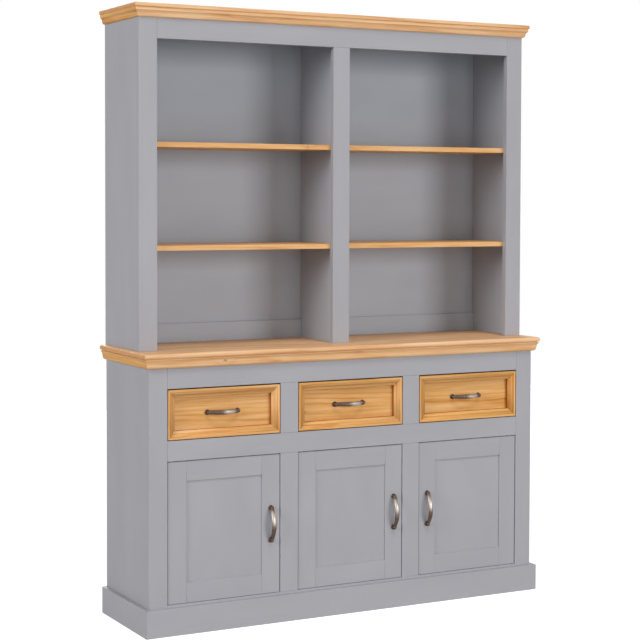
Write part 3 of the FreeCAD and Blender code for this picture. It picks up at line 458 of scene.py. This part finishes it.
def speckled(name, dark, light, speck, roughness, metallic):
    """A small part with a speckle of a size in metres: plating, turning marks or a moulded texture."""
    material, tree = new_material(name)
    place = put(tree, "TexCoord")
    specks = put(tree, "TexNoise", {"Scale": 1 / speck, "Detail": 3.0}, {"Vector": (place, "Object")})
    tone = put(tree, "ValToRGB", {"stops": [(0.3, dark), (0.7, light)]}, {"Fac": (specks, "Fac")})
    sheen = put(tree, "MapRange", {"To Min": roughness - 0.06, "To Max": roughness + 0.06}, {
        "Value": (specks, "Fac")})
    bump = put(tree, "Bump", {"Strength": 0.2, "Distance": 0.05 * MM}, {"Height": (specks, "Fac")})
    shader = put(tree, "BsdfPrincipled", {"Metallic": metallic}, {
        "Base Color": (tone, "Color"), "Roughness": (sheen, "Result"), "Normal": (bump, "Normal")})
    put(tree, "OutputMaterial", links={"Surface": (shader, "BSDF")})
    return material


pewter = aged_pewter("cast_zinc_aged_pewter")
steel = speckled("zinc_plated_steel", "B4B6BA", "CCCED0", 3 * MM, 0.36, 1.0)
brass = speckled("turned_brass", "B98F45", "D2AC62", 2 * MM, 0.30, 1.0)
brown_plastic = speckled("brown_abs_moulded", "54391F", "624428", 0.8 * MM, 0.5, 0.0)
print("made", pewter.name, steel.name, brass.name, brown_plastic.name)

# %% [markdown]
# Every board leaves the saw with knife-sharp edges, and a maker takes them off with a few strokes of
# sandpaper. That tiny rounding is what catches the light along an edge, so each wooden part gets it here.
# The parts come as loose triangles. Each solid is welded by itself first, because two boards that touch must
# not grow together. Then flat triangles are joined into whole faces and the long outer edges are bevelled.

# %% Helpers that weld and ease a board
WELD = 0.002 * MM
FLAT = math.radians(0.4)
SHARP = math.radians(35)
SHORTEST = 12 * MM
ROUND_STEPS = 2


def pick(piece):
    """Makes a piece the only selected and active one, as a click on it would."""
    bpy.ops.object.select_all(action="DESELECT")
    piece.select_set(True)
    bpy.context.view_layer.objects.active = piece


def solids_of(mesh):
    """The vertices of each solid.

    The triangles come solid by solid, and a solid is whole when each of its edges has met its partner.
    """
    spots = {}
    spot = [spots.setdefault(tuple(round(c / WELD) for c in v.co), len(spots)) for v in mesh.vertices]
    solids = []
    members = set()
    open_edges = set()
    for face in mesh.polygons:
        members.update(face.vertices)
        corners = [spot[i] for i in face.vertices]
        for start, end in zip(corners, corners[1:] + corners[:1]):
            if (end, start) in open_edges:
                open_edges.remove((end, start))
            elif start != end:
                open_edges.add((start, end))
        if not open_edges:
            solids.append(members)
            members = set()
    return solids


def weld(piece):
    """Welds each solid of a piece by itself, the last first, so that the numbers of the others stay."""
    mesh = piece.data
    solids = solids_of(mesh)
    pick(piece)
    bpy.context.tool_settings.mesh_select_mode = (True, False, False)
    for members in reversed(solids):
        bpy.ops.object.mode_set(mode="EDIT")
        bpy.ops.mesh.select_all(action="DESELECT")
        bpy.ops.object.mode_set(mode="OBJECT")
        for number in members:
            mesh.vertices[number].select = True
        bpy.ops.object.mode_set(mode="EDIT")
        bpy.ops.mesh.remove_doubles(threshold=WELD)
        bpy.ops.object.mode_set(mode="OBJECT")
    return len(solids)


def ease(piece, width):
    """Joins flat triangles into faces and rounds the long outer edges."""
    pick(piece)
    bpy.ops.object.mode_set(mode="EDIT")
    bpy.ops.mesh.select_mode(type="EDGE")
    bpy.ops.mesh.select_all(action="SELECT")
    bpy.ops.mesh.dissolve_limited(angle_limit=FLAT)
    bpy.ops.mesh.select_all(action="DESELECT")
    shape = bmesh.from_edit_mesh(piece.data)
    for edge in shape.edges:
        outer = edge.is_convex and edge.calc_face_angle(0) > SHARP
        edge.select_set(outer and edge.calc_length() > SHORTEST)
    bmesh.update_edit_mesh(piece.data)
    bpy.ops.mesh.bevel(offset=width, segments=ROUND_STEPS, affect="EDGES", clamp_overlap=True)
    bpy.ops.object.mode_set(mode="OBJECT")
    bpy.ops.object.shade_smooth_by_angle(angle=SHARP)
    flat = piece.modifiers.new("flat_faces", "WEIGHTED_NORMAL")
    flat.keep_sharp = True
    bpy.ops.object.modifier_apply(modifier=flat.name)


print("edges over", round(math.degrees(SHARP)), "degrees and", round(SHORTEST / MM), "mm long get eased")

# %% [markdown]
# Wood has a direction. For each board the longest side is taken as the way the tree grew, and every vertex
# stores where it lies along, across and through its own board. A random place beside the tree's heart and a
# random shade make each board come from a different plank. The faces sawn across the board are marked as end
# grain, and the lips of a frame that look in at its panel are marked for a painted shade. The draws are
# seeded, so each run gives the same.

# %% Helpers that give each board its grain
END_ON = 0.8
END_FORCE = 0.75
FRONT_TO_BACK = 1
LIP_TILT = 0.3
# Where a board may lie in its tree, in metres: along the trunk, beside the heart, and out from the heart.
ALONG_TRUNK = (-9, 9)
BESIDE_HEART = (-0.10, 0.10)
OUT_FROM_HEART = (0.03, 0.09)
draw = random.Random(41)


def places_of(mesh):
    """The places of a mesh's vertices, one row for each."""
    places = np.empty(len(mesh.vertices) * 3)
    mesh.vertices.foreach_get("co", places)
    return places.reshape(-1, 3)


def boards_in(mesh):
    """For each vertex the number of its board: vertices joined by edges belong to one board."""
    ends = np.empty(len(mesh.edges) * 2, int)
    mesh.edges.foreach_get("vertices", ends)
    ends = ends.reshape(-1, 2)
    label = np.arange(len(mesh.vertices))
    while True:
        lowest = label[ends].min(1)
        fresh = label.copy()
        np.minimum.at(fresh, ends[:, 0], lowest)
        np.minimum.at(fresh, ends[:, 1], lowest)
        if (fresh == label).all():
            return label
        label = fresh


def follow_grain(piece, shade, side_shade):
    """Writes the place along, across and through each board, its shade from 0 to 1, and its cut ends.

    A board that runs from front to back takes its shade from the second range: darker on the mouldings, as
    painted shade.
    """
    mesh = piece.data
    places = places_of(mesh)
    label = boards_in(mesh)
    grain = np.empty_like(places)
    shades = np.empty(len(places))
    lengthwise = {}
    for number in np.unique(label):
        mine = label == number
        low, high = places[mine].min(0), places[mine].max(0)
        order = np.argsort(low - high)
        start = [draw.uniform(*span) for span in (ALONG_TRUNK, BESIDE_HEART, OUT_FROM_HEART)]
        grain[mine] = (places[mine] - (low + high) / 2)[:, order] + start
        lengthwise[number] = order[0]
        shades[mine] = draw.uniform(*(side_shade if order[0] == FRONT_TO_BACK else shade))
    cut_ends = np.array([
        abs(face.normal[lengthwise[label[face.vertices[0]]]]) > END_ON for face in mesh.polygons])
    mesh.attributes.new("grain", "FLOAT_VECTOR", "POINT").data.foreach_set("vector", grain.ravel())
    mesh.attributes.new("board", "FLOAT", "POINT").data.foreach_set("value", shades)
    mesh.attributes.new("end_grain", "FLOAT", "FACE").data.foreach_set("value", cut_ends * END_FORCE)


def mark_lips(piece):
    """Marks the faces of an upright frame that look in at its middle, for a painted shade there."""
    corners = [Vector(corner) for corner in piece.bound_box]
    middle = sum(corners, Vector()) / len(corners)
    lips = []
    for face in piece.data.polygons:
        inward = face.normal.dot(middle - face.center) > 0
        lips.append(float(inward and abs(face.normal.y) < LIP_TILT))
    piece.data.attributes.new("lip", "FLOAT", "FACE").data.foreach_set("value", lips)


print("grain draws seeded")

# %% [markdown]
# Now each wooden part is copied, welded, eased, given its grain and its finish, and set to stand for the
# plain solid it came from. The pine on the drawer fronts came up a shade deeper than the tops, so the
# shade's range goes by part. The mouldings along the sides are set darker, as painted shade. Hidden and
# bare parts get the same care, because drawers and doors open. Some parts have a second finish on one
# side: the bare back of the hardboard, and the inner faces of the upper unit's sides, which take the
# inside paint, lightened and cooled as painted light.

# %% Dress the wooden parts
FINISHES = {
    "grey_paint": (grey_paint, 1.1 * MM),
    "pine": (honey_pine, 1.0 * MM),
    "inner_wood": (bare_pine, 0.6 * MM),
}
SHADES = {
    "drawer_left": (0.22, 0.34),
    "drawer_middle": (0.16, 0.28),
    "drawer_right": (0.02, 0.14),
    "lower_shelves": (0.3, 0.45),
    "upper_shelves": (0.3, 0.45),
    "top_board": (0.85, 0.95),
}
OTHER_SHADES = (0.5, 0.8)
# a darker shade range for the side runs of the mouldings: painted shade on the sides
SIDE_RUN_PAINTED_SHADES = (0.0, 0.12)
# parts inside the bays, and the inner faces of the upper unit's sides, take the inside paint: painted light
WHOLLY_INSIDE = ("hutch_back_panel", "hutch_back_rails", "hutch_divider", "hutch_roof_board")
SECOND_FINISHES = {
    "hutch_back_panel": (hardboard, Vector((0, 1, 0))),
    "hutch_side_left": (inside_paint_painted_light, Vector((1, 0, 0))),
    "hutch_side_right": (inside_paint_painted_light, Vector((-1, 0, 0))),
}
SAME_WAY = 0.9

bodies = frame["record"]["behaviour"]["bodies"]
body_of_node = {node: body for body, nodes in bodies.items() for node in nodes}
solid_count = 0
for node, source in sorted(frame["nodes"].items()):
    slot = source.data.materials[0].name
    if slot not in FINISHES:
        continue
    finish, width = FINISHES[slot]
    piece = bpy.data.objects.new(node + "_finished", source.data.copy())
    bpy.context.scene.collection.objects.link(piece)
    solid_count += weld(piece)
    ease(piece, width)
    shade = next((SHADES[start] for start in SHADES if node.startswith(start)), OTHER_SHADES)
    follow_grain(piece, shade, SIDE_RUN_PAINTED_SHADES if node.endswith("moulding") else shade)
    # the inner lips of the edgings get a painted shade
    if node.endswith("edging"):
        mark_lips(piece)
    piece.data.materials.clear()
    piece.data.materials.append(inside_paint_painted_light if node in WHOLLY_INSIDE else finish)
    if node in SECOND_FINISHES:
        second, way = SECOND_FINISHES[node]
        piece.data.materials.append(second)
        for face in piece.data.polygons:
            face.material_index = int(face.normal.dot(way) > SAME_WAY)
    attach(piece, body_of_node[node])
    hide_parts(node)
print("dressed", solid_count, "boards")

# %% [markdown]
# A handle is a bow on two turned feet, cast in one piece. A foot starts as a disc that is drawn up ring by
# ring, as clay is on a wheel: narrow at the neck, and full at the ball where the bow springs from. The same
# steps serve for the heads of the screws later on.

# %% Turn the two feet
HALF_SPAN = 51 * MM
FOOT_RADIUS = 8.5 * MM
FOOT_SINK = -0.5 * MM
FOOT_POINTS = 32
# height and radius of each ring, in millimetres
FOOT_RINGS = [(1.6, 8.5), (2.4, 8.0), (3.0, 6.8), (4.0, 6.1), (6.0, 6.5), (8.0, 7.0), (10.5, 6.5),
              (12.6, 5.2), (14.0, 3.5), (14.8, 1.4)]


def start_shell(points, radius, place, tilt=0):
    """Adds a filled ring at a place, with nothing else selected, and opens it for editing."""
    bpy.ops.object.select_all(action="DESELECT")
    bpy.ops.mesh.primitive_circle_add(vertices=points, radius=radius, fill_type="NGON",
                                      rotation=(0, tilt, 0), location=place)
    bpy.ops.object.transform_apply(location=True, rotation=True, scale=True)
    bpy.ops.object.mode_set(mode="EDIT")
    bpy.ops.mesh.select_all(action="SELECT")
    return bpy.context.object


def draw_out(step, scale, middle):
    """Extrudes the selected ring by a step and scales the new ring about its middle."""
    bpy.ops.mesh.extrude_region_move(TRANSFORM_OT_translate={"value": step})
    bpy.ops.transform.resize(value=scale, center_override=middle)


def end_shell():
    """Turns the faces of the shell outwards and ends the editing."""
    bpy.ops.mesh.select_all(action="SELECT")
    bpy.ops.mesh.normals_make_consistent(inside=False)
    bpy.ops.object.mode_set(mode="OBJECT")


def turned(points, radius, place, rings):
    """A disc at a place, drawn up through rings given as height and radius in millimetres."""
    piece = start_shell(points, radius, place)
    x, y, height = place
    for ring_height, ring_radius in rings:
        rise = ring_height * MM - height
        share = ring_radius * MM / radius
        height, radius = ring_height * MM, ring_radius * MM
        draw_out((0, 0, rise), (share, share, 1), (x, y, height))
    end_shell()
    return piece


feet = [turned(FOOT_POINTS, FOOT_RADIUS, (side * HALF_SPAN, 0, FOOT_SINK), FOOT_RINGS) for side in (-1, 1)]
print("turned", len(feet), "feet of", len(feet[0].data.polygons), "faces")

# %% [markdown]
# The bow starts as a ring in one ball and is drawn across in steps, rising to the middle and broadening
# there, along a parabola.

# %% Draw out the bow
BALL_HEIGHT = 8 * MM
REACH = 31 * MM
BOW_STEPS = 24
BOW_POINTS = 32
END_HALVES = (6.0 * MM, 4.0 * MM)
MIDDLE_HALVES = (7.5 * MM, 4.5 * MM)


def bow_at(share):
    """Height and half sizes of the bow at a share of the span, from 0 at one ball to 1 at the other."""
    fullness = 1 - (2 * share - 1) ** 2
    top = REACH - MIDDLE_HALVES[1]
    halves = [end + (middle - end) * fullness for end, middle in zip(END_HALVES, MIDDLE_HALVES)]
    return BALL_HEIGHT + (top - BALL_HEIGHT) * fullness, halves


bow_start = (-HALF_SPAN, 0, BALL_HEIGHT)
bow = start_shell(BOW_POINTS, 1, bow_start, tilt=math.pi / 2)
bpy.ops.transform.resize(value=(1, *END_HALVES), center_override=bow_start)
height, halves = bow_at(0)
for step in range(1, BOW_STEPS + 1):
    share = step / BOW_STEPS
    new_height, new_halves = bow_at(share)
    scale = (1, new_halves[0] / halves[0], new_halves[1] / halves[1])
    middle = (-HALF_SPAN + 2 * HALF_SPAN * share, 0, new_height)
    draw_out((2 * HALF_SPAN / BOW_STEPS, 0, new_height - height), scale, middle)
    height, halves = new_height, new_halves
end_shell()
print("bow drawn out in", BOW_STEPS, "steps")

# %% [markdown]
# A voxel remesh fuses the feet and the bow as molten metal would, and a few passes of smoothing round the
# joints like the fettling of a casting.

# %% Cast the handle
VOXEL = 0.6 * MM
FETTLE_FORCE = 0.5
FETTLE_PASSES = 8


def joined(main, others, name):
    """Joins the other pieces to the main one and gives the result a name."""
    pick(main)
    for other in others:
        other.select_set(True)
    bpy.ops.object.join()
    main.name = name
    return main


casting = joined(bow, feet, "handle_casting")
fused = casting.modifiers.new("fuse", "REMESH")
fused.mode = "VOXEL"
fused.voxel_size = VOXEL
bpy.ops.object.modifier_apply(modifier=fused.name)
smoothed = casting.modifiers.new("fettle", "SMOOTH")
smoothed.factor = FETTLE_FORCE
smoothed.iterations = FETTLE_PASSES
bpy.ops.object.modifier_apply(modifier=smoothed.name)
bpy.ops.object.shade_smooth()
handle_size = [round(c / MM, 1) for c in casting.dimensions]
print("handle has", len(casting.data.polygons), "faces, size in mm", handle_size)

# %% [markdown]
# Rubbing works on what stands proud and on where the hand went, and the feet are hardly touched. The bow is
# palest about half way from its middle to one end, towards the right on a drawer and the top on a door: a
# painted highlight, where the lamps shine on it, over the rubbing.

# %% Rub the handle back and paint its highlight
# Where the rubbing and the painted highlight are strongest, measured from the bow's middle, how far they stay
# so, and how far they fade out towards the near foot and towards the far one.
RUB_HIGHLIGHT_PLACE = 24 * MM
RUB_HIGHLIGHT_MIDDLE = 2 * MM
RUB_HIGHLIGHT_NEAR = 27 * MM
RUB_HIGHLIGHT_FAR = 42 * MM
RUB_HIGHLIGHT_FORCE = 0.75
along_bow = places_of(casting.data)[:, 0]
rub_highlight_end = np.where(along_bow > RUB_HIGHLIGHT_PLACE, RUB_HIGHLIGHT_NEAR, RUB_HIGHLIGHT_FAR)
nearness = np.clip((rub_highlight_end - np.abs(along_bow - RUB_HIGHLIGHT_PLACE)) / (rub_highlight_end - RUB_HIGHLIGHT_MIDDLE), 0, 1)
# a soft start and a soft end, for the rubbing and the painted highlight alike
rub = RUB_HIGHLIGHT_FORCE * nearness * nearness * (3 - 2 * nearness)
casting.data.attributes.new("rub", "FLOAT", "POINT").data.foreach_set("value", rub)
casting.data.materials.append(pewter)
print("rub runs from", rub.min(), "to", rub.max())

# %% [markdown]
# Each handle is held from behind by two round-headed screws. Only the heads show, when a drawer or a door is
# open. A head starts as a disc drawn up to a dome, and a cross is cut in it for the driver.

# %% Turn one pair of screws
HEAD_RADIUS = 4.0 * MM
HEAD_POINTS = 28
# height and radius of each ring, in millimetres
HEAD_RINGS = [(0.9, 4.0), (1.5, 3.7), (2.0, 3.0), (2.35, 1.9), (2.5, 0.7)]
HEAD_HEIGHT = 2.5 * MM
CROSS_LONG = 4.2 * MM
CROSS_WIDE = 0.9 * MM
CROSS_DEEP = 1.4 * MM


def cut_slot(head, place, size):
    """Cuts a slot of a size into a head, half of it above the place and half below."""
    bpy.ops.mesh.primitive_cube_add(size=1, location=place)
    blade = bpy.context.object
    blade.scale = size
    bpy.ops.object.transform_apply(location=True, rotation=True, scale=True)
    pick(head)
    cut = head.modifiers.new("cross", "BOOLEAN")
    cut.object = blade
    cut.operation = "DIFFERENCE"
    bpy.ops.object.modifier_apply(modifier=cut.name)
    bpy.data.objects.remove(blade)


heads = []
for side in (-1, 1):
    head = turned(HEAD_POINTS, HEAD_RADIUS, (side * HALF_SPAN, 0, 0), HEAD_RINGS)
    crown = (side * HALF_SPAN, 0, HEAD_HEIGHT)
    cut_slot(head, crown, (CROSS_LONG, CROSS_WIDE, 2 * CROSS_DEEP))
    cut_slot(head, crown, (CROSS_WIDE, CROSS_LONG, 2 * CROSS_DEEP))
    heads.append(head)
screw_pair = joined(heads[0], heads[1:], "screw_pair")
bpy.ops.object.shade_smooth_by_angle(angle=SHARP)
screw_pair.data.materials.clear()
screw_pair.data.materials.append(steel)
print("screw pair has", len(screw_pair.data.polygons), "faces")

# %% [markdown]
# The handle and its screws are copied to every drawer and door. On a drawer the bow lies level, and on a door
# it stands upright. Each copy has its own mesh, moved to its place, so the object itself stays at the origin.

# %% Fit the handles
FORWARD = Vector((0, -1, 0))
LEVEL = Vector((1, 0, 0))
UPRIGHT = Vector((0, 0, 1))


def fitted(source, name, along, out, spot):
    """A copy of a handle part with its long side along one way, its front facing another, at a spot."""
    turn = Matrix((along, out.cross(along), out)).transposed().to_4x4()
    mesh = source.data.copy()
    mesh.transform(Matrix.Translation(spot) @ turn)
    piece = bpy.data.objects.new(name, mesh)
    bpy.context.scene.collection.objects.link(piece)
    return piece


for kind, along in (("drawer", LEVEL), ("door", UPRIGHT)):
    for column in ("left", "middle", "right"):
        body = f"{kind}_{column}"
        node = body + "_handle"
        low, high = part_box(node)
        middle = (low + high) / 2
        front = Vector((middle.x, low.y + REACH, middle.z))
        bow_piece = fitted(casting, node + "_cast", along, FORWARD, front)
        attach(bow_piece, body)
        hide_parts(node)
        behind = Vector((middle.x, high.y - HEAD_HEIGHT, middle.z))
        screws = fitted(screw_pair, node + "_screws", along, -FORWARD, behind)
        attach(screws, body)
bpy.data.objects.remove(casting)
bpy.data.objects.remove(screw_pair)
print("six handles fitted")

# %% [markdown]
# The hinge pins, their bushes, the strike plates and the catches are small and mostly hidden. Their solids
# are right as they are, so they only take their materials.

# %% Finish the small fittings
FITTINGS = {"steel": steel, "brass": brass, "catch_plastic": brown_plastic}
fitted_out = 0
for node, source in frame["nodes"].items():
    slot = source.data.materials[0].name
    if slot in FITTINGS:
        source.data.materials[0] = FITTINGS[slot]
        fitted_out += 1
print("finished", fitted_out, "fittings")

# %% [markdown]
# Last, the view is set to Standard, so that colours show as they are set. Easing an edge only takes
# wood away, so the dressed hutch keeps within the box of the plain solids.

# %% Set the view transform
scene = bpy.context.scene
scene.view_settings.view_transform = "Standard"
